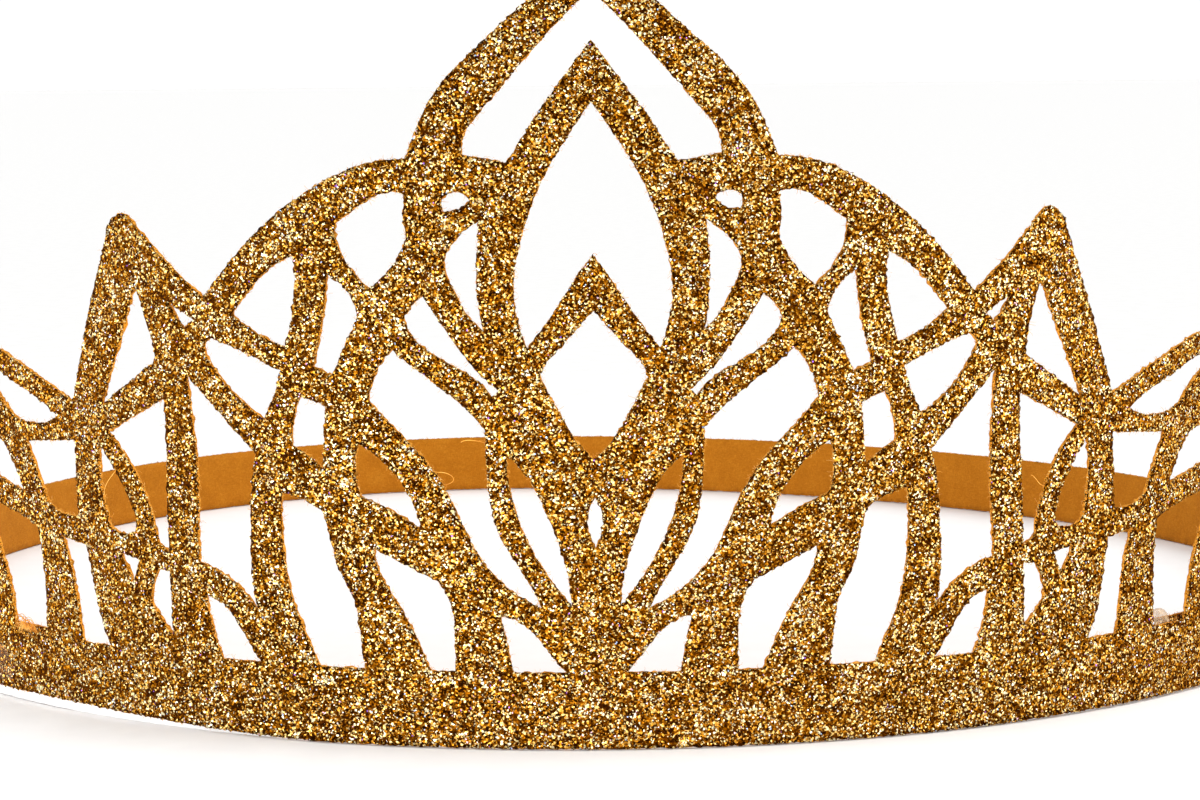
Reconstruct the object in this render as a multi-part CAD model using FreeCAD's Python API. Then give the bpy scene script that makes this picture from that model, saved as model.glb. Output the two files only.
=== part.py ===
import FreeCAD, Part

import math
import os

# A pierced crown of stiff glitter felt. Millimetres, +Z up. The tall front panel faces -Y and
# the lower rim stands on Z = 0 around the world origin. The front is round, the back a little
# deeper, as a head is.

# ---- driving dimensions ------------------------------------------------------------------
OUTER_R = 85.0            # outside of the glitter layer
GLITTER_T = 0.15          # glitter layer
FELT_T = 0.45             # felt sheet under it
LINER_T = 0.3             # white liner strip between the front panel and the back band
BACK_DEPTH = 4.1          # how much further the back reaches than a circle would
BACK_SKEW = 12.3          # how much deeper the back is on the left than on the right
AXIS_Y = -2.02            # axis of the round front, so that the whole ring is centred
BAND_H = 7.8              # height of the plain strip round the back
BASE_H = 7.35             # height of the front panel's base, under its openings
LINER_H = 7.0             # the liner stops short of the band's upper edge
APEX_H = 76.05            # tip of the crown
PANEL_END = 112.0         # arc length from the centre line to the end of the front panel
BAND_START = 58.0         # arc length from the centre line to the end of the back band
LINER_START = 32.0        # arc length from the centre line to the end of the liner
LIFT_LEFT = 1.1           # rise of the panel's lower edge off the ground, left side
LIFT_RIGHT = 0.15         # the same, right side
LIFT_FROM = 24.0          # arc length where the rise starts
LIFT_TO = 62.0            # arc length where the rise is complete
LEAN = 0.034              # sideways lean of the side peaks per millimetre of height
LEAN_FOOT = 10.55         # height where the lean starts
LEAN_FROM = 12.0          # arc length where the lean starts
LEAN_TO = 58.0            # arc length where the lean is complete

FELT_R = OUTER_R - GLITTER_T
LINER_R = FELT_R - FELT_T
BAND_R = LINER_R - LINER_T
BAND_FELT_R = BAND_R - GLITTER_T
INNER_R = BAND_FELT_R - FELT_T

BEAD_S = 62.6             # right glue bead: arc length of its middle
BEAD_SIZE = (2.3, 1.2, 1.2)        # half sizes along the rim, across it and upwards
SMEAR_S = -68.6           # left glue smear: arc length of its middle
SMEAR_Z = 3.4
SMEAR_SIZE = (3.2, 0.35, 1.9)      # half sizes along the rim, outwards and upwards

# ---- flat pattern of one half: (arc length from the centre line, height) ---------------------
# A ring is a list of sides. A side runs through its points to the first point of the next side.
# Two points make a straight side, more make a smooth curve.

UPPER_EDGE = [
    [(0, APEX_H), (6.4, 69.55), (10.4, 65.95), (14.9, 61.15), (16.8, 57.25)],
    [(17.5, 55.55), (21.5, 55.05), (27.4, 52.25), (32.5, 48.35)],
    [(38.1, 42.25), (43.6, 46.95)],
    [(46.2, 49.55), (47.4, 50.15), (48.5, 49.55)],
    [(49.4, 47.85), (50.7, 44.25), (52.3, 40.05), (53.8, 35.35)],
    [(55.1, 31.35), (59.2, 33.15), (65.5, 35.55), (68.5, 36.45), (73.5, 36.85), (79.0, 34.75), (83.5, 30.55)],
    [(87.0, 26.35), (91.5, 27.45), (96.5, 24.75), (101.0, 19.05), (104.5, 12.05)],
    [(106.5, BASE_H)],
]

# Openings that cross the centre line: their right-hand halves, from bottom to top.
CENTRE_OPENINGS = [
    # between the outer and the inner arch
    [
        [(0, 66.35), (2.85, 62.55), (5.06, 59.55), (7.4, 55.95)],
        [(8.0, 55.15), (10.0, 55.55)],
        [(12.1, 55.85), (12.0, 57.25)],
        [(10.9, 59.15), (6.8, 63.85), (3.9, 67.05)],
        [(0, 70.85)],
    ],
    # tall almond inside the inner arch
    [
        [(0, 46.65), (2.4, 43.25), (5.06, 39.35)],
        [(6.2, 37.95), (7.1, 40.75), (7.4, 44.15), (6.8, 47.55), (5.35, 51.95), (2.4, 57.25)],
        [(0, 60.65)],
    ],
    # diamond
    [
        [(0, 27.55), (1.8, 29.45), (3.4, 32.15)],
        [(5.0, 35.15), (4.6, 36.35)],
        [(3.9, 37.15), (2.0, 39.15)],
        [(0, 41.45)],
    ],
    # small drop in the stem
    [
        [(0, 19.15), (0.5, 20.35), (0.7, 21.95), (0.4, 23.25)],
        [(0, 23.95)],
    ],
]

# Openings of one half; the other half repeats them.
SIDE_OPENINGS = [
    # leaf standing on the base beside the stem
    [[(2.85, BASE_H)], [(7.9, BASE_H), (8.4, 9.95)], [(9.0, 12.65), (6.8, 11.85), (5.2, 10.25)]],
    # long leaf beside the stem
    [
        [(2.3, 13.65), (3.3, 19.15), (4.6, 22.45), (6.8, 26.55)],
        [(8.3, 27.85), (7.7, 23.35), (6.5, 20.05), (4.9, 17.15)],
    ],
    # big leaf
    [
        [(5.1, 13.45), (7.7, 18.05), (9.0, 20.35), (9.9, 23.55), (10.2, 26.85)],
        [(10.3, 30.35), (13.3, 33.35), (15.6, 35.05)],
        [(19.0, 37.75), (20.6, 35.65)],
        [(21.4, 32.95), (18.0, 29.45), (15.1, 26.25), (13.3, 23.05), (10.6, 17.75), (8.4, 15.45)],
    ],
    # narrow wedge above the big leaf
    [
        [(8.9, 33.95)],
        [(9.6, 33.45), (13.9, 36.65), (17.0, 38.95)],
        [(17.8, 40.55), (17.0, 41.95)],
        [(16.0, 42.75), (13.6, 39.15), (11.4, 36.25)],
    ],
    # crescent beside the almond
    [
        [(10.6, 49.75), (12.7, 48.15), (13.9, 45.95), (13.1, 43.45), (11.8, 41.05)],
        [(10.3, 39.55), (10.85, 42.85), (10.9, 45.45)],
    ],
    # small bean above the crescent
    [[(11.4, 51.65), (12.6, 52.45), (13.6, 52.25)], [(13.9, 50.65), (12.6, 50.85)]],
    # under the upper lobe
    [
        [(17.6, 52.25), (19.9, 52.25), (23.3, 50.2)],
        [(24.3, 49.55), (24.3, 48.55), (23.6, 46.35)],
        [(21.1, 43.45), (18.4, 46.25)],
        [(17.5, 48.15), (17.7, 49.95)],
    ],
    # small kite beside it
    [
        [(25.2, 44.75), (22.5, 41.75)],
        [(22.3, 40.95), (23.5, 38.25)],
        [(24.9, 35.25)],
        [(26.8, 36.05), (25.8, 40.15)],
    ],
    # triangle under the lobe's outer end
    [
        [(28.6, 46.45), (31.8, 44.45), (33.8, 42.35)],
        [(35.1, 40.75), (32.7, 39.15)],
        [(29.6, 37.75), (28.7, 41.35), (28.4, 44.55)],
    ],
    # small triangle
    [
        [(25.7, 32.25)],
        [(28.2, 33.25), (29.2, 29.05)],
        [(29.2, 28.45), (27.4, 27.45)],
        [(26.1, 26.25), (25.9, 29.05)],
    ],
    # long triangle below it
    [
        [(30.2, 35.55), (33.4, 36.95)],
        [(37.3, 38.35), (38.2, 37.85)],
        [(38.2, 36.95), (35.6, 33.55)],
        [(32.0, 30.85), (31.0, 32.95)],
    ],
    # almond beside the big leaf
    [
        [(22.5, 28.85), (19.8, 26.85), (18.0, 24.65), (16.9, 22.35)],
        [(16.5, 20.85), (19.2, 22.45)],
        [(22.4, 23.85), (22.8, 25.75)],
    ],
    # slanted pane standing on the base
    [
        [(13.4, BASE_H)],
        [(15.8, BASE_H), (17.0, 10.05), (18.5, 13.05), (20.2, 15.65)],
        [(21.2, 18.85), (18.0, 17.35)],
        [(14.9, 15.85), (13.8, 13.75), (13.4, 10.55)],
    ],
    # tall pane
    [
        [(22.3, BASE_H)],
        [(27.0, BASE_H), (28.1, 9.95), (29.3, 12.65), (30.3, 16.95)],
        [(30.4, 23.95), (28.6, 23.45)],
        [(26.2, 22.25), (25.6, 20.05), (24.8, 16.85), (23.4, 14.15), (22.7, 10.35)],
    ],
    # tallest pane
    [
        [(33.0, 27.45), (37.2, 31.65)],
        [(40.4, 34.85), (39.8, 28.75), (39.6, 23.15), (39.8, 19.05)],
        [(39.8, 16.65), (36.7, 15.45)],
        [(33.4, 12.35), (33.9, 16.05), (33.9, 19.65), (33.7, 23.75)],
    ],
    # triangle standing on the base
    [[(33.1, BASE_H)], [(37.5, BASE_H), (38.6, 10.25)], [(39.2, 13.45), (37.8, 13.05), (36.0, 11.45)]],
    # small pane
    [[(43.3, 15.55)], [(44.8, 15.55), (45.6, 13.75)], [(45.9, 12.15)], [(43.3, 9.15)]],
    # tiny triangle
    [[(47.1, 16.35)], [(49.6, 16.85)], [(48.0, 13.95)]],
    # leaf inside the side peak's foot
    [
        [(51.7, 27.35), (49.2, 24.35), (48.1, 22.35), (47.3, 20.35)],
        [(47.5, 19.05), (49.2, 18.75), (50.5, 19.15)],
        [(51.1, 20.35), (51.8, 23.55)],
    ],
    # pane beside it
    [
        [(43.2, 32.35)],
        [(50.5, 28.65), (47.8, 25.85), (46.0, 22.75)],
        [(44.7, 18.15)],
        [(43.3, 17.35), (43.3, 22.05), (43.1, 26.75)],
    ],
    # tall triangle of the side peak
    [
        [(45.9, 42.95), (44.8, 39.95)],
        [(43.9, 36.05)],
        [(51.1, 31.25), (49.0, 36.15), (47.6, 39.35)],
        [(46.5, 42.35)],
    ],
    # tiny triangle outside the lobe's foot
    [[(42.3, 41.85)], [(39.4, 40.15)], [(40.5, 39.25)]],
    # long leaf under the outer lobe
    [
        [(57.5, 29.85), (60.4, 31.35), (64.0, 32.65), (67.5, 33.95)],
        [(74.0, 34.45), (70.5, 33.35), (67.0, 31.15), (64.9, 29.45), (62.0, 28.85), (59.3, 29.05)],
    ],
    # trapezium under it
    [[(55.0, 27.55)], [(62.9, 26.95), (61.4, 24.35)], [(59.8, 21.05), (58.2, 20.25)], [(55.1, 20.05)]],
    # slim pane standing on the base
    [
        [(51.3, BASE_H)],
        [(55.3, BASE_H), (55.9, 10.55), (56.6, 14.55)],
        [(57.9, 17.85)],
        [(54.2, 17.15), (53.2, 12.55), (52.3, 9.35)],
    ],
    # pane with the glue bead at its foot
    [
        [(60.9, BASE_H)],
        [(66.1, BASE_H), (66.6, 10.55), (67.8, 14.15), (69.8, 17.75)],
        [(71.8, 21.45), (68.6, 20.35), (64.0, 19.25)],
        [(61.4, 18.25), (60.8, 14.55), (60.6, 10.55)],
    ],
    # leaf at the outer end of the outer lobe
    [[(72.4, 29.95), (75.4, 32.15)], [(78.4, 32.55), (80.8, 30.55)], [(83.6, 26.55), (78.0, 27.85)]],
    # middle leaf of the outer lobe
    [
        [(63.4, 21.75), (64.9, 24.35)],
        [(66.8, 26.65), (69.4, 27.15)],
        [(73.0, 27.55), (77.0, 25.95)],
        [(80.4, 24.75), (74.0, 24.35), (68.6, 23.05)],
    ],
    # outer lobe, pane standing on the base
    [
        [(70.2, BASE_H)],
        [(76.4, BASE_H), (77.2, 11.55), (79.0, 16.15)],
        [(81.4, 21.15), (78.0, 22.15)],
        [(74.2, 21.95), (72.6, 17.75), (70.9, 12.75)],
    ],
    # outer lobe, wedge standing on the base
    [[(80.2, BASE_H)], [(86.0, BASE_H), (85.6, 13.55)], [(84.9, 20.75), (82.6, 15.55)]],
    # last lobe, leaf
    [
        [(88.3, 23.35), (91.6, 24.75)],
        [(95.2, 22.35), (98.0, 18.15)],
        [(99.6, 14.75), (94.0, 16.95)],
        [(88.8, 17.55)],
    ],
    # last lobe, pane standing on the base
    [[(89.2, BASE_H)], [(101.6, BASE_H)], [(100.6, 11.75), (95.0, 14.15)], [(89.0, 15.15)]],
]


# ---- shapes ----------------------------------------------------------------------------------
def ramp(value, start, end):
    """Smooth 0 to 1 between start and end."""
    t = min(max((value - start) / (end - start), 0.0), 1.0)
    return t * t * (3.0 - 2.0 * t)


def placed(point, hand):
    """A flat point on the right (hand 1) or left (hand -1) half, with the lean of the side peaks."""
    s, z = point
    lean = LEAN * max(z - LEAN_FOOT, 0.0) * ramp(s, LEAN_FROM, LEAN_TO)
    return hand * s - lean, z


def open_sides(sides, hand):
    """Full point lists of the sides of a run that ends at its last point."""
    starts = [side[0] for side in sides]
    runs = [list(side) + [starts[i + 1]] for i, side in enumerate(sides[:-1])]
    if len(sides[-1]) > 1:
        runs.append(list(sides[-1]))
    return [[placed(p, hand) for p in run] for run in runs]


def closed_sides(sides, hand):
    """Full point lists of the sides of a closed ring."""
    return open_sides(list(sides) + [[sides[0][0]]], hand)


def turned_round(runs):
    """The same run travelled from its end to its start."""
    return [run[::-1] for run in runs[::-1]]


def lower_edge(hand, lift):
    """The panel's lower edge from the centre line outwards, rising a little at the side."""
    rise = [(LIFT_FROM, 0.0)]
    for t in (0.25, 0.5, 0.75, 1.0):
        s = LIFT_FROM + t * (LIFT_TO - LIFT_FROM)
        rise.append((s, lift * ramp(s, LIFT_FROM, LIFT_TO)))
    runs = [[(0, 0), (LIFT_FROM, 0)], rise, [(LIFT_TO, lift), (PANEL_END, lift)]]
    return [[(hand * s, z) for s, z in run] for run in runs]


def half_outline(hand, lift):
    """One half of the panel's outline, from the centre of the lower edge to the apex."""
    foot = (hand * UPPER_EDGE[-1][0][0], BASE_H)
    end = [
        [(hand * PANEL_END, lift), (hand * PANEL_END, BASE_H)],
        [(hand * PANEL_END, BASE_H), foot],
    ]
    return lower_edge(hand, lift) + end + turned_round(open_sides(UPPER_EDGE, hand))


def panel_rings():
    """The outline and all the openings as rings of point lists."""
    outline = half_outline(1, LIFT_RIGHT) + turned_round(half_outline(-1, LIFT_LEFT))
    rings = []
    for half in CENTRE_OPENINGS:
        rings.append(open_sides(half, 1) + turned_round(open_sides(half, -1)))
    for opening in SIDE_OPENINGS:
        rings.append(closed_sides(opening, 1))
        rings.append(closed_sides(opening, -1))
    return outline, rings


def wrapped_edge(points, radius):
    """One side of a ring, bent round the cylinder of that radius."""
    surface = Part.Cylinder()
    surface.Radius = radius
    flat = Part.Geom2d.BSplineCurve2d()
    if len(points) == 2:
        ends = [FreeCAD.Base.Vector2d(s, z) for s, z in points]
        flat.buildFromPolesMultsKnots(ends, [2, 2], [0, 1], False, 1)
    else:
        flat.interpolate([FreeCAD.Base.Vector2d(s, z) for s, z in points])
    poles = [FreeCAD.Base.Vector2d(math.pi + p.x / OUTER_R, p.y) for p in flat.getPoles()]
    bent = Part.Geom2d.BSplineCurve2d()
    bent.buildFromPolesMultsKnots(
        poles, flat.getMultiplicities(), flat.getKnots(), False, flat.Degree
    )
    return bent.toShape(surface)


def wrapped_face(outline, openings, radius):
    """The pierced sheet's face at that radius."""
    surface = Part.Cylinder()
    surface.Radius = radius
    face = Part.Face(surface, Part.Wire(outline))
    face.validate()
    face.cutHoles([Part.Wire(edges) for edges in openings])
    face.validate()
    return face


def pierced_sheet(inner_r, outer_r):
    """The front panel between two radii, facing -Y."""
    outline, openings = panel_rings()
    faces = []
    layers = []
    for radius in (inner_r, outer_r):
        ring = [wrapped_edge(run, radius) for run in outline]
        holes = [[wrapped_edge(run, radius) for run in opening] for opening in openings]
        faces.append(wrapped_face(ring, holes, radius))
        layers.append(ring + [edge for hole in holes for edge in hole])
    for inner_edge, outer_edge in zip(*layers):
        faces.append(Part.makeRuledSurface(inner_edge, outer_edge))
    shell = Part.makeShell(faces)
    shell.sewShape()
    solid = Part.Solid(shell)
    if solid.Volume < 0:
        solid.reverse()
    solid.rotate(FreeCAD.Vector(0, 0, 0), FreeCAD.Vector(0, 0, 1), 90)
    return solid


def arc_strip(inner_r, outer_r, height, start_s, end_s):
    """A plain strip between two arc lengths measured from the centre line of the front."""
    start = math.degrees(start_s / OUTER_R)
    sweep = math.degrees((end_s - start_s) / OUTER_R)
    origin = FreeCAD.Vector(0, 0, 0)
    up = FreeCAD.Vector(0, 0, 1)
    strip = Part.makeCylinder(outer_r, height, origin, up, sweep)
    strip = strip.cut(Part.makeCylinder(inner_r, height, origin, up, 360))
    strip.rotate(origin, up, start - 90)
    return strip


def ring_point(radius, angle):
    """A point of the ring seen from above. The angle runs from the front centre line."""
    across = math.sin(angle)
    ahead = math.cos(angle)
    extra = BACK_DEPTH - BACK_SKEW * across if ahead < 0 else 0.0
    return FreeCAD.Vector(radius * across, -(radius + extra) * ahead, 0)


def ring_edges(radius):
    """The back band's line seen from above: a round arc, the deeper back, a round arc."""
    start = BAND_START / OUTER_R
    quarter = math.pi / 2
    back = [ring_point(radius, quarter + math.pi * i / 12) for i in range(13)]
    curve = Part.BSplineCurve()
    forward = FreeCAD.Vector(0, 1, 0)
    curve.interpolate(Points=back, InitialTangent=forward, FinalTangent=-forward)
    sides = []
    for hand in (1, -1):
        angles = (hand * start, hand * (start + quarter) / 2, hand * quarter)
        sides.append(Part.Arc(*[ring_point(radius, angle) for angle in angles]).toShape())
    return [sides[0], curve.toShape(), sides[1]]


def back_strip(inner_r, outer_r):
    """One layer of the back band, closed by a straight cut at both ends."""
    inner = ring_edges(inner_r)
    outer = ring_edges(outer_r)
    cuts = []
    for hand in (1, -1):
        angle = hand * BAND_START / OUTER_R
        cuts.append(Part.makeLine(ring_point(inner_r, angle), ring_point(outer_r, angle)))
    outline = Part.Wire(Part.__sortEdges__(inner + outer + cuts))
    return Part.Face(outline).extrude(FreeCAD.Vector(0, 0, BAND_H))


def ellipsoid(radius, s, z, sizes):
    """An ellipsoid centred on the rim, with half sizes along it, across it and upwards."""
    stretch = FreeCAD.Matrix()
    stretch.scale(FreeCAD.Vector(*sizes))
    shape = Part.makeSphere(1.0).transformGeometry(stretch)
    angle = s / OUTER_R
    shape.rotate(FreeCAD.Vector(0, 0, 0), FreeCAD.Vector(0, 0, 1), math.degrees(angle))
    shape.translate(FreeCAD.Vector(radius * math.sin(angle), -radius * math.cos(angle), z))
    return shape


def glue_bead(panel):
    """Set glue heaped on the upper edges behind the panel."""
    bead = ellipsoid(BAND_R, BEAD_S, BAND_H, BEAD_SIZE)
    below = Part.makeBox(400, 400, 100, FreeCAD.Vector(-200, -200, BAND_H - 100))
    return bead.cut(below).cut(panel)


def glue_smear():
    """A thin smear of set glue on the outside of the base."""
    smear = ellipsoid(OUTER_R, SMEAR_S, SMEAR_Z, SMEAR_SIZE)
    return smear.cut(Part.makeCylinder(OUTER_R, 100, FreeCAD.Vector(0, 0, -50)))


def main():
    felt = pierced_sheet(LINER_R, FELT_R)
    parts = {
        "front_felt_backing": felt,
        "front_glitter_face": pierced_sheet(FELT_R, OUTER_R),
        "liner_strip_right": arc_strip(BAND_R, LINER_R, LINER_H, LINER_START, PANEL_END),
        "liner_strip_left": arc_strip(BAND_R, LINER_R, LINER_H, -PANEL_END, -LINER_START),
        "back_band_glitter_face": back_strip(BAND_FELT_R, BAND_R),
        "back_band_felt": back_strip(INNER_R, BAND_FELT_R),
        "glue_bead_right": glue_bead(felt),
        "glue_smear_left": glue_smear(),
    }
    os.makedirs("parts", exist_ok=True)
    for name, shape in parts.items():
        shape.translate(FreeCAD.Vector(0, AXIS_Y, 0))
        shape.exportStep("parts/" + name + ".step")


main()
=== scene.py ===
import math

import bpy
import numpy as np
from mathutils import Matrix, Vector, kdtree, noise
from mathutils.geometry import delaunay_2d_cdt


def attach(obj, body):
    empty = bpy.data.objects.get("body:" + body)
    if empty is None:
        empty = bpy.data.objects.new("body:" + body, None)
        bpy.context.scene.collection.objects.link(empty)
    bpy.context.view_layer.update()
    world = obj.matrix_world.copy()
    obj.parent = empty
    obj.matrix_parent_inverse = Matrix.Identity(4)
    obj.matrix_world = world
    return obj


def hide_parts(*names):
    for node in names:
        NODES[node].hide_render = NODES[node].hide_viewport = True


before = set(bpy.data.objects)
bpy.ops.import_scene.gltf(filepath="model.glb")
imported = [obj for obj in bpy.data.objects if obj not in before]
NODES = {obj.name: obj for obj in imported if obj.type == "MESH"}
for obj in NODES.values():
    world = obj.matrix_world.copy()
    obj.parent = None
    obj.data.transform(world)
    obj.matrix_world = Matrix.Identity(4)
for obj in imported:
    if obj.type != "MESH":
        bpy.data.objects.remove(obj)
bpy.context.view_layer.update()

MM = 0.001

# ---- the ring in millimetres ---------------------------------------------------------------------
OUTER_R = 85.0            # outside of the front panel's glitter coat
FELT_R = 84.85            # outside of its felt
LINER_R = 84.4            # outside of the white strips
BAND_R = 84.1             # outside of the back strip's glitter coat
BAND_FELT_R = 83.95       # outside of its felt
INNER_R = 83.5            # inside of the ring
AXIS_Y = -2.02            # axis of the round front
BACK_DEPTH = 4.1          # how much further the back reaches than a circle
BACK_SKEW = 12.3          # how much deeper it is on the left
PANEL_END = 112.0         # arc length from the front centre line to the panel's end
LINER_START = 32.0        # the same to the start of a white strip
BAND_START = 58.0         # the same to the end of the back strip
BAND_H = 7.8              # height of the back strip
LINER_H = 7.0             # height of the white strips

# ---- surface detail in millimetres ---------------------------------------------------------------
FLAKE = 0.20              # large flakes of glitter
SPECK = 0.13              # small flakes
TRIM = 0.06               # how far the panel's soft cut edges draw back
RAGGED = 0.075            # how far the panel's cut edges wander
BAND_RAGGED = 0.04        # how far the back strip's edges wander
LINER_RAGGED = 0.02       # how far the white strips' edges wander
COAT_ROUGH = 0.045        # unevenness of the glitter coat
FELT_ROUGH = 0.03         # unevenness of the felt's inside
FIBRE = 0.020             # radius of a felt fibre
TANGLED_FIBRE = 0.048     # radius of a matted strand
THREAD = 0.042            # radius of a loose thread
THREAD_R = 84.6           # ring radius at which the loose threads hang

# ---- spacing of the mesh points in millimetres, and fibres per millimetre of cut edge ------------
COAT_STEP, COAT_RIM_STEP = ((0.50, 0.30))
FELT_STEP, FELT_RIM_STEP = ((0.62, 0.36))
BAND_STEP, BAND_RIM_STEP = ((0.60, 0.40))
LINER_STEP, LINER_RIM_STEP = 0.9, 0.6
PANEL_FUZZ = 3.8
BAND_FUZZ = 4.0

# ---- camera and lamps, in metres and degrees -----------------------------------------------------
LENS = 91.01
CAMERA_PLACE = (0.0037, -0.36672, 0.06505)
CAMERA_PITCH, CAMERA_YAW, CAMERA_ROLL = 6.515, -0.646, -0.575
FILL_DISTANCE = 0.18      # from the world's vertical axis to a low panel light
FILL_WIDTH = 0.16


# ---- node material helpers -----------------------------------------------------------------------
class Nodes:
    """A small helper for building node materials."""

    def __init__(self, name):
        self.material = bpy.data.materials.new(name)
        self.material.use_nodes = True
        self.tree = self.material.node_tree
        self.tree.nodes.clear()
        self.output = self.tree.nodes.new("ShaderNodeOutputMaterial")
        self.shader = self.tree.nodes.new("ShaderNodeBsdfPrincipled")
        self.link(self.shader.outputs["BSDF"], self.output.inputs["Surface"])
        self.place = self.tree.nodes.new("ShaderNodeTexCoord").outputs["Object"]

    def link(self, source, target):
        self.tree.links.new(source, target)

    def feed(self, value, socket):
        """Links another node's output, or sets a constant."""
        if hasattr(value, "is_linked"):
            self.link(value, socket)
        else:
            socket.default_value = value

    def set(self, **values):
        """Constant values on the shader's own sockets."""
        for name, value in values.items():
            self.shader.inputs[name.replace("_", " ")].default_value = value

    def voronoi(self, cell_mm, feature="F1"):
        node = self.tree.nodes.new("ShaderNodeTexVoronoi")
        node.feature = feature
        node.inputs["Scale"].default_value = 1.0 / (cell_mm * MM)
        self.link(self.place, node.inputs["Vector"])
        return node

    def noise(self, size_mm, detail=2.0, stretch=(1, 1, 1), distortion=0.0):
        """Soft noise. A stretch below 1 lengthens it along that axis."""
        place = self.tree.nodes.new("ShaderNodeMapping")
        place.inputs["Scale"].default_value = stretch
        self.link(self.place, place.inputs["Vector"])
        node = self.tree.nodes.new("ShaderNodeTexNoise")
        node.inputs["Scale"].default_value = 1.0 / (size_mm * MM)
        node.inputs["Detail"].default_value = detail
        node.inputs["Distortion"].default_value = distortion
        self.link(place.outputs["Vector"], node.inputs["Vector"])
        return node.outputs["Fac"]

    def split(self, colour):
        node = self.tree.nodes.new("ShaderNodeSeparateColor")
        self.link(colour, node.inputs["Color"])
        return node.outputs

    def ramp(self, value, stops, hard=False):
        """stops is a list of (position, sRGB colour)."""
        node = self.tree.nodes.new("ShaderNodeValToRGB")
        node.color_ramp.interpolation = "CONSTANT" if hard else "LINEAR"
        elements = node.color_ramp.elements
        while len(elements) < len(stops):
            elements.new(0.5)
        for element, (position, colour) in zip(elements, stops):
            element.position = position
            element.color = linear(colour)
        self.link(value, node.inputs["Fac"])
        return node.outputs["Color"]

    def mix(self, factor, a, b, blend="MIX"):
        node = self.tree.nodes.new("ShaderNodeMix")
        node.data_type = "RGBA"
        node.blend_type = blend
        self.feed(factor, node.inputs[0])
        self.feed(a, node.inputs[6])
        self.feed(b, node.inputs[7])
        return node.outputs[2]

    def math(self, operation, a, b=0.0):
        node = self.tree.nodes.new("ShaderNodeMath")
        node.operation = operation
        self.feed(a, node.inputs[0])
        self.feed(b, node.inputs[1])
        return node.outputs[0]

    def vector(self, operation, a, b=(0, 0, 0), scale=1.0):
        node = self.tree.nodes.new("ShaderNodeVectorMath")
        node.operation = operation
        self.feed(a, node.inputs[0])
        if operation == "SCALE":
            self.feed(scale, node.inputs["Scale"])
        elif operation != "NORMALIZE":
            self.feed(b, node.inputs[1])
        return node.outputs[0]

    def depth(self, near, far):
        """0 to 1 through the sheet's thickness, from one ring radius to another, in mm."""
        flat = self.vector("MULTIPLY", self.place, (1, 1, 0))
        node = self.tree.nodes.new("ShaderNodeVectorMath")
        node.operation = "DISTANCE"
        self.link(flat, node.inputs[0])
        node.inputs[1].default_value = (0.0, AXIS_Y * MM, 0.0)
        reach = self.math("SUBTRACT", node.outputs["Value"], near * MM)
        return self.math("DIVIDE", reach, (far - near) * MM)

    def bump(self, height, depth_mm, normal=None, strength=1.0):
        node = self.tree.nodes.new("ShaderNodeBump")
        node.inputs["Strength"].default_value = strength
        node.inputs["Distance"].default_value = depth_mm * MM
        self.link(height, node.inputs["Height"])
        if normal is not None:
            self.link(normal, node.inputs["Normal"])
        return node.outputs["Normal"]


def linear(colour):
    """0 to 255 sRGB to a linear colour with alpha."""
    out = []
    for c in colour:
        c = c / 255.0
        out.append(c / 12.92 if c <= 0.04045 else ((c + 0.055) / 1.055) ** 2.4)
    return (*out, 1.0)


# ---- materials -----------------------------------------------------------------------------------
# Flake tones: the flakes' own golds in the middle, painted shade in the near-black stops and
# painted glints in the near-white cream stops.
GOLD_WITH_PAINTED_GLINT_AND_SHADE = [
    (0.00, (28, 8, 0)),
    (0.22, (56, 22, 0)),
    (0.42, (88, 44, 0)),
    (0.58, (124, 70, 2)),
    (0.69, (172, 108, 16)),
    (0.79, (226, 164, 58)),
    (0.90, (255, 226, 142)),
    (1.00, (255, 251, 214)),
]


def flake_colour(m):
    """Fine flakes in two sizes, toned from golds with painted glints at the bright end and painted
    shade at the dark end, their gaps darkened with painted shade: (colour, flake cells, speck
    colours, gaps).
    """
    flakes = m.voronoi(FLAKE)
    specks = m.voronoi(SPECK)
    large = m.split(flakes.outputs["Color"])
    small = m.split(specks.outputs["Color"])
    patches = m.math("MULTIPLY", m.math("SUBTRACT", m.noise(1.5, detail=2.0), 0.5), 0.55)
    tone_large = m.ramp(m.math("ADD", large[0], patches), GOLD_WITH_PAINTED_GLINT_AND_SHADE)
    tone_small = m.ramp(m.math("ADD", small[0], patches), GOLD_WITH_PAINTED_GLINT_AND_SHADE)
    colour = m.mix(m.math("GREATER_THAN", large[1], 0.60), tone_large, tone_small)
    gaps = m.voronoi(FLAKE, feature="DISTANCE_TO_EDGE").outputs["Distance"]
    # Painted shade: the gaps between flakes darkened towards brown.
    painted_gap_shade = m.ramp(gaps, [(0.0, (110, 74, 40)), (0.09, (255, 255, 255))])
    return m.mix(1.0, colour, painted_gap_shade, blend="MULTIPLY"), flakes, small, gaps


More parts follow.
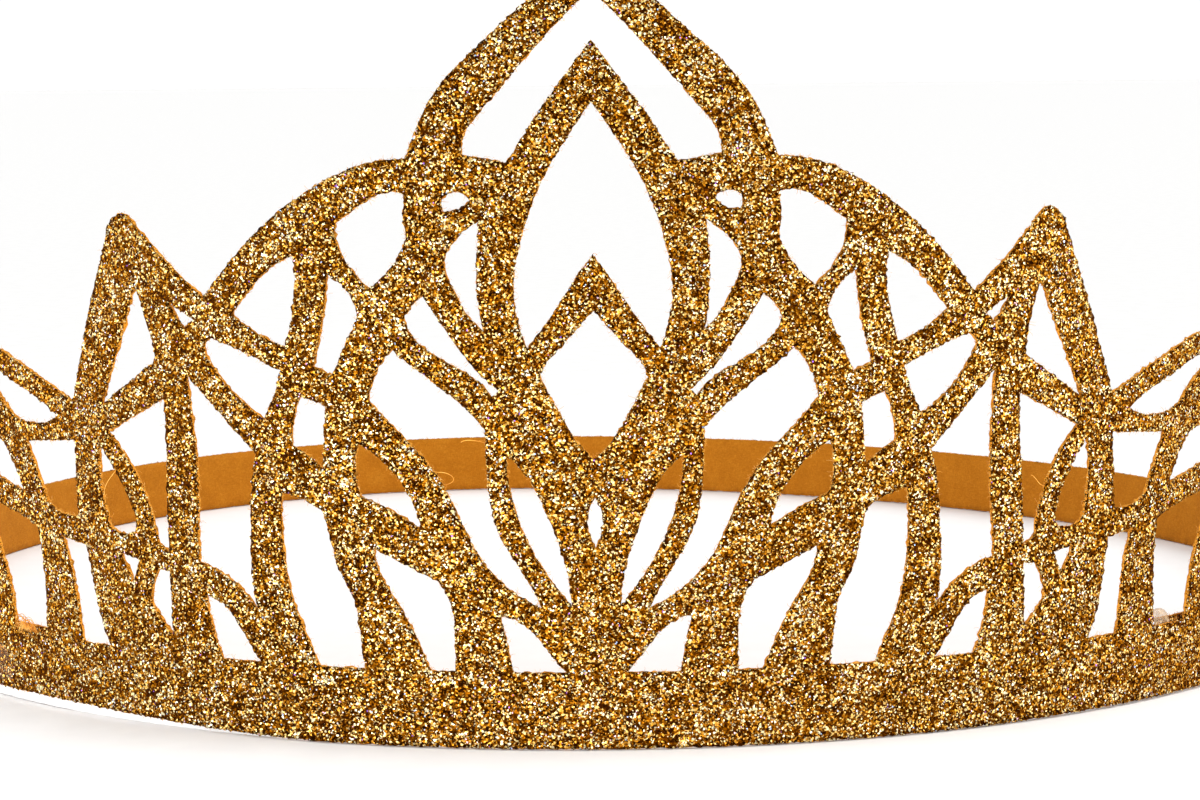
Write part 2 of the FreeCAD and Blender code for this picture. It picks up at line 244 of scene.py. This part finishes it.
def glitter_material():
    """Fine gold flakes, each tilted its own way, with rare flakes coloured white, pale blue, pink
    and purple as painted glints.
    """
    m = Nodes("gold_glitter_flakes")
    colour, flakes, small, gaps = flake_colour(m)
    # Painted glints: rare specks coloured as white, blue, pink and purple sparkle.
    painted_glint_tones = [
        (0.0, (255, 255, 255)),
        (0.45, (190, 215, 255)),
        (0.70, (255, 210, 228)),
        (0.90, (150, 100, 210)),
    ]
    painted_glint = m.ramp(small[1], painted_glint_tones, hard=True)
    colour = m.mix(m.math("GREATER_THAN", small[2], 0.992), colour, painted_glint)
    m.link(colour, m.shader.inputs["Base Color"])
    m.set(Metallic=0.88, Roughness=0.33, Specular_IOR_Level=0.1)
    m.shader.inputs["Specular Tint"].default_value = linear((255, 205, 130))
    tilt = m.vector("SUBTRACT", flakes.outputs["Color"], (0.5, 0.5, 0.5))
    normal = m.tree.nodes.new("ShaderNodeNewGeometry").outputs["Normal"]
    normal = m.vector("NORMALIZE", m.vector("ADD", normal, m.vector("SCALE", tilt, scale=1.0)))
    m.link(m.bump(gaps, 0.10, normal=normal, strength=0.4), m.shader.inputs["Normal"])
    return m.material


def felt_material(name, dark, base, light, flecked=False):
    """Pressed felt: fine crossed fibres and soft blotches. A flecked sheet has flakes of glitter
    caught in its cut edges, more of them nearer to the glitter coat."""
    m = Nodes(name)
    lying = m.noise(0.15, detail=3.0, stretch=(0.35, 0.35, 1.0), distortion=0.8)
    standing = m.noise(0.13, detail=3.0, stretch=(1.0, 1.0, 0.35), distortion=0.8)
    fibres = m.math("MULTIPLY", m.math("ADD", lying, standing), 0.5)
    fine = m.ramp(fibres, [(0.32, dark), (0.50, base), (0.68, light)])
    wide = m.ramp(m.noise(2.6, detail=3.0), [(0.30, dark), (0.55, base), (0.80, light)])
    colour = m.mix(0.3, fine, wide)
    if flecked:
        flakes, _, small, _ = flake_colour(m)
        share = m.math("SUBTRACT", m.math("MULTIPLY", m.depth(LINER_R, FELT_R), 0.95), 0.12)
        caught = m.math("LESS_THAN", small[1], share)
        colour = m.mix(caught, colour, flakes)
        m.link(m.math("MULTIPLY", caught, 0.8), m.shader.inputs["Metallic"])
    m.link(colour, m.shader.inputs["Base Color"])
    m.set(Roughness=0.9, Specular_IOR_Level=0.1, Sheen_Weight=0.12, Sheen_Roughness=0.5)
    m.shader.inputs["Sheen Tint"].default_value = linear((255, 200, 120))
    m.link(m.bump(fibres, 0.12, strength=0.9), m.shader.inputs["Normal"])
    return m.material


def fibre_material():
    """Loose felt fibres."""
    m = Nodes("felt_fibre")
    tones = [(0.30, (202, 126, 28)), (0.52, (234, 164, 58)), (0.74, (250, 204, 112))]
    m.link(m.ramp(m.noise(1.2, detail=1.0), tones), m.shader.inputs["Base Color"])
    m.set(Roughness=0.7, Specular_IOR_Level=0.2, Sheen_Weight=0.1)
    return m.material


def liner_material():
    """White strip with a faint paper grain."""
    m = Nodes("white_liner")
    grain = m.noise(0.35, detail=3.0)
    whites = [(0.3, (253, 252, 251)), (0.7, (255, 255, 255))]
    m.link(m.ramp(grain, whites), m.shader.inputs["Base Color"])
    m.set(Roughness=0.6)
    m.link(m.bump(grain, 0.02, strength=0.3), m.shader.inputs["Normal"])
    return m.material


def glue_material(name, thin, thick, dark, light):
    """Set hot glue: clear to milky and wet-looking. thin and thick are its cloudiness."""
    m = Nodes(name)
    cloud = m.noise(0.8, detail=3.0)
    m.link(m.ramp(cloud, [(0.3, dark), (0.7, light)]), m.shader.inputs["Base Color"])
    haze = [(0.3, (thin * 255,) * 3), (0.7, (thick * 255,) * 3)]
    m.link(m.split(m.ramp(cloud, haze))[0], m.shader.inputs["Alpha"])
    m.set(Roughness=0.18, IOR=1.48)
    m.link(m.bump(m.noise(1.1, detail=1.0), 0.12, strength=0.6), m.shader.inputs["Normal"])
    return m.material


def floor_material():
    """Plain pale matt floor."""
    m = Nodes("pale_floor")
    pales = [(0.3, (228, 228, 228)), (0.7, (231, 231, 231))]
    m.link(m.ramp(m.noise(4.0, detail=2.0), pales), m.shader.inputs["Base Color"])
    m.set(Roughness=0.9, Specular_IOR_Level=0.1)
    return m.material


# ---- the ring and the flat pattern ---------------------------------------------------------------
def bent(s, z, r):
    """Flat pattern (arc length, height) at radius r to the ring, in metres."""
    across = np.sin(s / OUTER_R)
    ahead = np.cos(s / OUTER_R)
    extra = np.where(ahead < 0, BACK_DEPTH - BACK_SKEW * across, 0.0)
    return np.stack([r * across, AXIS_Y - (r + extra) * ahead, z + 0.0 * across], -1) * MM


def border_loops(node, radius):
    """Closed loops round the front node's face at that radius, as (arc length, height) in mm."""
    mesh = node.data
    co = np.empty(len(mesh.vertices) * 3)
    mesh.vertices.foreach_get("co", co)
    co = co.reshape(-1, 3) / MM - (0.0, AXIS_Y, 0.0)
    on_face = np.abs(np.hypot(co[:, 0], co[:, 1]) - radius) < 0.03
    flat = np.stack([np.arctan2(co[:, 0], -co[:, 1]) * OUTER_R, co[:, 2]], 1)
    uses = {}
    for polygon in mesh.polygons:
        if all(on_face[v] for v in polygon.vertices):
            for key in polygon.edge_keys:
                uses[key] = uses.get(key, 0) + 1
    neighbours = {}
    for (a, b), count in uses.items():
        if count == 1:
            neighbours.setdefault(a, []).append(b)
            neighbours.setdefault(b, []).append(a)
    loops = []
    left = set(neighbours)
    while left:
        start = min(left)
        loop, previous, here = [start], None, start
        while True:
            left.discard(here)
            step = [n for n in neighbours[here] if n != previous and (n in left or n == start)]
            if not step or (step[0] == start and len(loop) > 2):
                break
            previous, here = here, step[0]
            loop.append(here)
        loops.append(flat[loop])
    return loops


def strip_loops(start, end, high):
    """The outline of a plain strip that stands on the ground."""
    return [np.array([(start, 0.0), (end, 0.0), (end, high), (start, high)], float)]


def resampled(loop, step, corner=math.radians(28)):
    """The loop with evenly spaced points, its corners kept."""
    before = loop - np.roll(loop, 1, 0)
    after = np.roll(loop, -1, 0) - loop
    turn = np.arctan2(
        before[:, 0] * after[:, 1] - before[:, 1] * after[:, 0], (before * after).sum(1)
    )
    corners = np.flatnonzero(np.abs(turn) > corner)
    if len(corners) == 0:
        corners = np.array([0])
    points = []
    for i, first in enumerate(corners):
        last = corners[(i + 1) % len(corners)]
        count = (last - first) % len(loop) or len(loop)
        run = loop[(first + np.arange(count + 1)) % len(loop)]
        length = np.concatenate([[0.0], np.cumsum(np.hypot(*np.diff(run, axis=0).T))])
        parts = max(1, round(length[-1] / step))
        at = np.linspace(0.0, length[-1], parts + 1)[:-1]
        points.append(np.stack([np.interp(at, length, run[:, k]) for k in (0, 1)], 1))
    return np.vstack(points)


def inside(points, loops):
    """Which points lie in the sheet, counting crossings of all the loops."""
    odd = np.zeros(len(points), bool)
    for loop in loops:
        low, high = loop.min(0), loop.max(0)
        near = np.flatnonzero(((points >= low) & (points <= high)).all(1))
        ends = np.roll(loop, -1, 0)
        for chunk in np.array_split(near, max(1, len(near) * len(loop) // 4000000)):
            s, z = points[chunk, 0:1], points[chunk, 1:2]
            spans = (loop[:, 1] > z) != (ends[:, 1] > z)
            rise = np.where(ends[:, 1] == loop[:, 1], 1.0, ends[:, 1] - loop[:, 1])
            cross = loop[:, 0] + (z - loop[:, 1]) * (ends[:, 0] - loop[:, 0]) / rise
            hits = (spans & (s < cross)).sum(1)
            odd[chunk] ^= hits % 2 == 1
    return odd


def filled(loops, step, rim_step, seed):
    """Even triangles over the sheet inside the loops: (points, triangles, directed border
    edges). step is the spacing inside and rim_step along the loops, in mm."""
    rng = np.random.default_rng(seed)
    loops = [resampled(loop, rim_step) for loop in loops]
    rim = np.vstack(loops)
    edges = []
    base = 0
    for loop in loops:
        count = len(loop)
        edges += [(base + i, base + (i + 1) % count) for i in range(count)]
        base += count
    low, high = rim.min(0), rim.max(0)
    grid = []
    row_step = step * 0.866
    for i, z in enumerate(np.arange(low[1] + step / 2, high[1], row_step)):
        s = np.arange(low[0] + (i % 2) * step / 2, high[0], step)
        grid.append(np.stack([s, np.full_like(s, z)], 1))
    grid = np.vstack(grid)
    grid += rng.uniform(-0.16, 0.16, grid.shape) * step
    grid = grid[inside(grid, loops)]
    tree = kdtree.KDTree(len(rim))
    for i, (s, z) in enumerate(rim):
        tree.insert((s, z, 0.0), i)
    tree.balance()
    clear = [tree.find((s, z, 0.0))[2] > step * 0.55 for s, z in grid]
    points = np.vstack([rim, grid[np.array(clear)]])
    found = delaunay_2d_cdt([Vector(p) for p in points.tolist()], edges, [], 0, 1e-7, False)
    points = np.array([tuple(p) for p in found[0]])
    triangles = np.array(found[2])
    a, b, c = (points[triangles[:, k]] for k in range(3))
    area = (b[:, 0] - a[:, 0]) * (c[:, 1] - a[:, 1]) - (b[:, 1] - a[:, 1]) * (c[:, 0] - a[:, 0])
    keep = inside((a + b + c) / 3.0, loops) & (np.abs(area) > 1e-6)
    triangles = triangles[keep]
    flip = area[keep] < 0
    triangles[flip] = triangles[flip][:, ::-1]
    directed = set()
    for t in triangles.tolist():
        directed.update(((t[0], t[1]), (t[1], t[2]), (t[2], t[0])))
    border = np.array(sorted(p for p in directed if (p[1], p[0]) not in directed))
    used = np.unique(triangles)
    new_index = np.full(len(points), -1)
    new_index[used] = np.arange(len(used))
    return points[used], new_index[triangles], new_index[border]


def border_normals(points, border):
    """Unit vectors in the flat pattern that point out of the sheet, per point (zero inside)."""
    normals = np.zeros_like(points)
    along = points[border[:, 1]] - points[border[:, 0]]
    out = np.stack([along[:, 1], -along[:, 0]], 1)
    out /= np.maximum(np.hypot(*out.T)[:, None], 1e-9)
    np.add.at(normals, border[:, 0], out)
    np.add.at(normals, border[:, 1], out)
    length = np.hypot(*normals.T)[:, None]
    return np.where(length > 1e-9, normals / np.maximum(length, 1e-9), 0.0)


# ---- meshes --------------------------------------------------------------------------------------
def new_object(name, vertices, faces, material, smooth=True):
    """A mesh object in the scene."""
    mesh = bpy.data.meshes.new(name)
    mesh.from_pydata(np.asarray(vertices).tolist(), [], [list(map(int, f)) for f in faces])
    mesh.materials.append(material)
    mesh.polygons.foreach_set("use_smooth", [smooth] * len(mesh.polygons))
    mesh.update()
    piece = bpy.data.objects.new(name, mesh)
    bpy.context.scene.collection.objects.link(piece)
    return piece


def sheet_piece(name, flat, radii, material, rough, ragged, seed, trim=0.0):
    """A closed sheet through the given radii (outside first). rough is the unevenness of the
    outside and of the inside, ragged how far the cut edges wander and trim how far they draw
    back, all in mm."""
    points, triangles, border = flat
    rng = np.random.default_rng(seed)
    normals = border_normals(points, border)
    on_border = np.flatnonzero(np.hypot(*normals.T) > 0)
    rim_index = np.full(len(points), -1)
    rim_index[on_border] = np.arange(len(on_border))
    layers = []
    index = []
    total = 0
    for k, radius in enumerate(radii):
        full = k in (0, len(radii) - 1)
        chosen = np.arange(len(points)) if full else on_border
        wander = normals[chosen] * rng.normal(-trim, ragged, len(chosen))[:, None]
        s, z = (points[chosen] + wander).T
        r = np.full(len(chosen), float(radius))
        if full:
            amount = rough[0] if k == 0 else rough[1]
            r = r + rng.uniform(-amount, amount, len(chosen))
        layers.append(bent(s, np.maximum(z, 0.0), r))
        index.append((chosen if full else rim_index) + total)
        total += len(chosen)
    faces = index[0][triangles].tolist() + index[-1][triangles[:, ::-1]].tolist()
    a, b = border.T
    for upper, lower in zip(index[:-1], index[1:]):
        faces += np.stack([upper[b], upper[a], lower[a], lower[b]], 1).tolist()
    return new_object(name, np.vstack(layers), faces, material)


def blob(name, s, z, radius, sizes, material, lump):
    """A lumpy dollop: half sizes along the rim, across it and upwards, lumps in mm."""
    rings, around = 24, 40
    vertices = []
    for i in range(rings + 1):
        polar = math.pi * i / rings
        for k in range(around if 0 < i < rings else 1):
            turn = 2 * math.pi * k / around
            unit = Vector((
                math.sin(polar) * math.cos(turn), math.sin(polar) * math.sin(turn), math.cos(polar)
            ))
            swell = 1.0 + lump * noise.noise(unit * 1.7 + Vector((s, z, 0.0)))
            along, across, up = (unit[j] * sizes[j] * swell for j in range(3))
            vertices.append(bent(s + along, z + up, radius + across))
    faces = []
    last = len(vertices) - 1
    for k in range(around):
        n = (k + 1) % around
        faces.append((0, 1 + k, 1 + n))
        faces.append((last, last - around + n, last - around + k))
        for i in range(rings - 2):
            low, high = 1 + i * around, 1 + (i + 1) * around
            faces.append((low + k, high + k, high + n, low + n))
    return new_object(name, np.vstack(vertices), faces, material)


# ---- fibres --------------------------------------------------------------------------------------
def tube(path, radius, sides=3):
    """A tapering closed tube along a short path, as (vertices, faces)."""
    path = np.asarray(path)
    ahead = np.gradient(path, axis=0)
    ahead /= np.maximum(np.linalg.norm(ahead, axis=1)[:, None], 1e-12)
    side = np.cross(ahead, (0.31, 0.87, 0.38))
    side /= np.maximum(np.linalg.norm(side, axis=1)[:, None], 1e-12)
    other = np.cross(ahead, side)
    thin = radius * np.linspace(1.0, 0.45, len(path))
    angle = 2 * np.pi * np.arange(sides) / sides
    cos, sin = (f(angle)[None, :, None] for f in (np.cos, np.sin))
    ring = side[:, None] * cos + other[:, None] * sin
    vertices = (path[:, None] + ring * thin[:, None, None]).reshape(-1, 3)
    faces = []
    for i in range(len(path) - 1):
        for k in range(sides):
            n = (k + 1) % sides
            faces.append((i * sides + k, i * sides + n, (i + 1) * sides + n, (i + 1) * sides + k))
    last = (len(path) - 1) * sides
    faces.append(tuple(range(sides - 1, -1, -1)))
    faces.append(tuple(last + k for k in range(sides)))
    return vertices, faces


def joined(name, tubes, material):
    """One piece made of many tubes."""
    vertices, faces, base = [], [], 0
    for v, f in tubes:
        vertices.append(v)
        faces += [[base + i for i in face] for face in f]
        base += len(v)
    return new_object(name, np.vstack(vertices), faces, material)


def curling(rng, start, heading, reach, curl, radius, drift, parts, thick=FIBRE):
    """A fibre that leaves a flat point with a heading and curls by the angle curl. It starts at
    a ring radius and drifts off it."""
    turn = heading + curl * np.linspace(0, 1, parts)
    ds = np.concatenate([[0], np.cumsum(np.cos(turn) * reach / parts)])
    dz = np.concatenate([[0], np.cumsum(np.sin(turn) * reach / parts)])
    z = np.maximum(start[1] + dz, 0.03)
    path = bent(start[0] + ds, z, radius + drift * np.linspace(0, 1, parts + 1))
    return tube(path, thick * rng.uniform(0.7, 1.3) * MM)


def edge_fuzz(flat, inner, outer, per_mm, longest, seed):
    """Short curling fibres, up to about the longest, that stand out of the cut edges of a felt
    sheet between two ring radii."""
    points, _, border = flat
    rng = np.random.default_rng(seed)
    a, b = points[border[:, 0]], points[border[:, 1]]
    along = b - a
    length = np.hypot(*along.T)
    out = np.stack([along[:, 1], -along[:, 0]], 1) / np.maximum(length[:, None], 1e-9)
    total = int(length.sum() * per_mm)
    tubes = []
    for i in rng.choice(len(border), total, p=length / length.sum()):
        start = a[i] + along[i] * rng.random() - out[i] * 0.05
        lean = out[i] + along[i] / length[i] * rng.normal(0, 0.9)
        reach = longest * rng.beta(1.3, 3.5) + 0.10
        heading = math.atan2(lean[1], lean[0])
        drift = rng.normal(0, 0.35) * reach
        curl = rng.normal(0, 1.5)
        radius = rng.uniform(inner, outer)
        tubes.append(curling(rng, start, heading, reach, curl, radius, drift, parts=3))
    return tubes


def tuft(s, z, width, height, count, seed):
    """A matted tangle of fibres pulled out of the sheet, highest at its left end."""
    rng = np.random.default_rng(seed)
    tubes = []
    for _ in range(count):
        across = rng.beta(1.2, 2.0)
        start = (s + across * width, z + rng.uniform(0.0, 0.25))
        reach = height * rng.uniform(0.5, 1.3) * (1.15 - across)
        heading = math.pi / 2 + rng.normal(0, 0.7)
        curl = rng.choice((-1, 1)) * rng.uniform(2.5, 6.5)
        radius = rng.uniform(LINER_R, FELT_R)
        drift = rng.normal(0, 0.3)
        tubes.append(
            curling(rng, start, heading, reach, curl, radius, drift, parts=10, thick=TANGLED_FIBRE)
        )
    return tubes


def loose_threads():
    """Longer fibres that hang from the cut edges, each through a few points of the pattern."""
    threads = [
        [(-49.6, 25.6), (-50.5, 24.7), (-51.6, 23.5), (-52.0, 22.5), (-51.8, 21.6)],
        [(46.2, 23.0), (45.4, 23.1), (44.8, 23.7), (44.2, 24.1)],
        [(-15.4, 26.0), (-14.4, 26.2), (-13.5, 25.9), (-13.5, 25.3), (-14.3, 25.1), (-14.9, 25.5)],
        [(-12.6, 29.1), (-10.9, 29.2), (-9.7, 29.1), (-9.7, 29.7), (-10.1, 30.1)],
    ]
    tubes = []
    for points in threads:
        points = np.array(points)
        at = np.arange(len(points))
        fine = np.linspace(0, len(points) - 1, 6 * len(points))
        degree = min(4, len(points) - 1)
        s, z = (np.polynomial.Polynomial.fit(at, points[:, k], degree)(fine) for k in (0, 1))
        tubes.append(tube(bent(s, z, THREAD_R), THREAD * MM, sides=5))
    return tubes


# ---- build the pieces ----------------------------------------------------------------------------
def place(piece, slot, node=None):
    """Every piece rides the crown's one body. node is the plain solid that it stands for."""
    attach(piece, "root")
    if node:
        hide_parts(node)


def felt_layers(outer, inner):
    """Radii through a felt sheet, so that its cut edge is ragged in depth too."""
    return tuple(np.linspace(outer, inner, 4))


def build_front(glitter, felt, fibre):
    """The pierced panel: glitter coat, felt backing and the fuzz of the cut edges."""
    loops = border_loops(NODES["front_glitter_face"], OUTER_R)
    coat_flat = filled(loops, COAT_STEP, COAT_RIM_STEP, seed=11)
    coat = sheet_piece(
        "glitter_coat_front", coat_flat, (OUTER_R, FELT_R), glitter,
        rough=(COAT_ROUGH, 0.0), ragged=RAGGED, seed=21, trim=TRIM,
    )
    place(coat, "gold_glitter", "front_glitter_face")
    felt_flat = filled(loops, FELT_STEP, FELT_RIM_STEP, seed=12)
    backing = sheet_piece(
        "felt_panel_front", felt_flat, felt_layers(FELT_R, LINER_R), felt,
        rough=(0.0, FELT_ROUGH), ragged=RAGGED, seed=22, trim=TRIM,
    )
    place(backing, "mustard_felt", "front_felt_backing")
    fuzz = edge_fuzz(felt_flat, LINER_R, FELT_R, PANEL_FUZZ, longest=0.8, seed=23)
    place(joined("felt_fuzz_front", fuzz, fibre), "mustard_felt")
    tangle = tuft(s=-65.4, z=7.3, width=3.4, height=3.0, count=80, seed=31)
    place(joined("loose_fibres", tangle + loose_threads(), fibre), "mustard_felt")


def build_band(glitter, felt, fibre):
    """The plain strip round the back."""
    loops = strip_loops(BAND_START, 2 * math.pi * OUTER_R - BAND_START, BAND_H)
    flat = filled(loops, BAND_STEP, BAND_RIM_STEP, seed=13)
    coat = sheet_piece(
        "glitter_coat_back", flat, (BAND_R, BAND_FELT_R), glitter,
        rough=(COAT_ROUGH, 0.0), ragged=BAND_RAGGED, seed=24,
    )
    place(coat, "gold_glitter", "back_band_glitter_face")
    band = sheet_piece(
        "felt_band_back", flat, felt_layers(BAND_FELT_R, INNER_R), felt,
        rough=(0.0, FELT_ROUGH), ragged=BAND_RAGGED, seed=25,
    )
    place(band, "mustard_felt", "back_band_felt")
    fuzz = edge_fuzz(flat, INNER_R, BAND_FELT_R, BAND_FUZZ, longest=0.6, seed=26)
    place(joined("felt_fuzz_back", fuzz, fibre), "mustard_felt")


def build_liners(white):
    """The white strips between the panel and the band at both sides."""
    for side, start, end, seed in (
        ("right", LINER_START, PANEL_END, 14),
        ("left", -PANEL_END, -LINER_START, 15),
    ):
        flat = filled(strip_loops(start, end, LINER_H), LINER_STEP, LINER_RIM_STEP, seed)
        strip = sheet_piece(
            "white_strip_" + side, flat, (LINER_R - 0.01, BAND_R + 0.01), white,
            rough=(0.0, 0.0), ragged=LINER_RAGGED, seed=seed,
        )
        place(strip, "white_liner", "liner_strip_" + side)


def build_glue():
    """Set hot glue: a clear dome behind the panel and a thin smear on the base."""
    clear = glue_material(
        "glue_clear", thin=0.60, thick=0.84, dark=(158, 126, 90), light=(206, 178, 142)
    )
    bead = blob(
        "glue_dome_right", s=62.3, z=6.9, radius=83.7, sizes=(2.3, 0.85, 1.9),
        material=clear, lump=0.14,
    )
    place(bead, "set_glue", "glue_bead_right")
    film = glue_material(
        "glue_film", thin=0.04, thick=0.30, dark=(222, 200, 170), light=(246, 236, 220)
    )
    smear = blob(
        "glue_film_left", s=-69.3, z=3.4, radius=OUTER_R, sizes=(2.4, 0.33, 1.9),
        material=film, lump=0.35,
    )
    place(smear, "set_glue", "glue_smear_left")


def build():
    glitter = glitter_material()
    felt = felt_material(
        "mustard_felt", dark=(152, 86, 6), base=(218, 142, 36), light=(248, 188, 84), flecked=True
    )
    band_felt = felt_material(
        "mustard_felt_smooth", dark=(158, 92, 10), base=(182, 110, 20), light=(202, 132, 36)
    )
    fibre = fibre_material()
    build_front(glitter, felt, fibre)
    build_band(glitter, band_felt, fibre)
    build_liners(liner_material())
    build_glue()


# ---- floor, light and camera ---------------------------------------------------------------------
def build_floor():
    """A wide plain floor, just clear of the lower rim."""
    reach = 6.0
    corners = [(-reach, -reach, 0), (reach, -reach, 0), (reach, reach, 0), (-reach, reach, 0)]
    floor = new_object("floor", corners, [(0, 1, 2, 3)], floor_material(), smooth=False)
    floor.location.z = -0.0001


def studio_world():
    """Soft bright panels with darker gaps light the flakes. The backdrop is seen as pure white."""
    world = bpy.data.worlds.new("studio")
    bpy.context.scene.world = world
    world.use_nodes = True
    tree = world.node_tree
    tree.nodes.clear()
    output = tree.nodes.new("ShaderNodeOutputWorld")
    choose = tree.nodes.new("ShaderNodeMixShader")
    path = tree.nodes.new("ShaderNodeLightPath")
    tree.links.new(path.outputs["Is Camera Ray"], choose.inputs[0])
    around = tree.nodes.new("ShaderNodeTexCoord").outputs["Generated"]
    panels = tree.nodes.new("ShaderNodeTexNoise")
    panels.inputs["Scale"].default_value = 2.4
    panels.inputs["Detail"].default_value = 0.0
    tree.links.new(around, panels.inputs["Vector"])
    shade = tree.nodes.new("ShaderNodeMapRange")
    for name, value in (("From Min", 0.42), ("From Max", 0.58), ("To Min", 0.06), ("To Max", 1.0)):
        shade.inputs[name].default_value = value
    tree.links.new(panels.outputs["Fac"], shade.inputs["Value"])
    lit = tree.nodes.new("ShaderNodeBackground")
    lit.inputs["Color"].default_value = (1, 1, 1, 1)
    tree.links.new(shade.outputs["Result"], lit.inputs["Strength"])
    seen = tree.nodes.new("ShaderNodeBackground")
    seen.inputs["Color"].default_value = (1, 1, 1, 1)
    seen.inputs["Strength"].default_value = 1.05
    tree.links.new(lit.outputs[0], choose.inputs[1])
    tree.links.new(seen.outputs[0], choose.inputs[2])
    tree.links.new(choose.outputs[0], output.inputs["Surface"])


def sun(name, direction, strength, spread, colour):
    """A soft far light. spread is its angle in degrees."""
    data = bpy.data.lights.new(name, "SUN")
    data.energy = strength
    data.angle = math.radians(spread)
    data.color = colour
    lamp = bpy.data.objects.new(name, data)
    bpy.context.scene.collection.objects.link(lamp)
    lamp.rotation_euler = Vector(direction).to_track_quat("-Z", "Y").to_euler()


def low_fill(turn, height, strength):
    """A soft panel standing low outside the front of the ring, unseen by the camera."""
    data = bpy.data.lights.new("low_fill", "AREA")
    data.shape = "RECTANGLE"
    data.size = FILL_WIDTH
    data.size_y = 2 * height
    data.energy = strength
    lamp = bpy.data.objects.new("low_fill", data)
    bpy.context.scene.collection.objects.link(lamp)
    outwards = Vector((math.sin(turn), -math.cos(turn), 0.0))
    lamp.location = FILL_DISTANCE * outwards + Vector((0.0, 0.0, height))
    aim = -outwards
    lamp.rotation_euler = aim.to_track_quat("-Z", "Z").to_euler()
    lamp.visible_camera = False


def aim_camera():
    """A long lens from the front, a little above the crown."""
    data = bpy.data.cameras.new("camera")
    data.sensor_width = 36.0
    data.lens = LENS
    data.clip_start = 0.01
    camera = bpy.data.objects.new("camera", data)
    bpy.context.scene.collection.objects.link(camera)
    pitch, yaw, roll = (math.radians(a) for a in (CAMERA_PITCH, CAMERA_YAW, CAMERA_ROLL))
    flat = math.cos(pitch)
    ahead = Vector((math.sin(yaw) * flat, math.cos(yaw) * flat, -math.sin(pitch)))
    level = Vector((math.cos(yaw), -math.sin(yaw), 0.0))
    upright = level.cross(ahead)
    right = level * math.cos(roll) + upright * math.sin(roll)
    up = upright * math.cos(roll) - level * math.sin(roll)
    turn = Matrix((right, up, -ahead)).transposed().to_4x4()
    camera.matrix_world = Matrix.Translation(CAMERA_PLACE) @ turn
    bpy.context.scene.camera = camera


build()
build_floor()
studio_world()
sun("key_soft", direction=(-0.75, -0.25, -1.0), strength=1.5, spread=50, colour=(1.0, 0.99, 0.97))
sun("top_soft", direction=(0.0, 0.10, -1.0), strength=0.9, spread=70, colour=(1.0, 1.0, 1.0))
sun("front_soft", direction=(0.0, 1.0, -0.55), strength=0.27, spread=55, colour=(1.0, 1.0, 1.0))
for turn, height, strength in ((-62, 0.03, 0.155), (0, 0.012, 0.12), (62, 0.03, 0.14)):
    low_fill(math.radians(turn), height, strength)
aim_camera()
bpy.context.scene.view_settings.view_transform = "Standard"
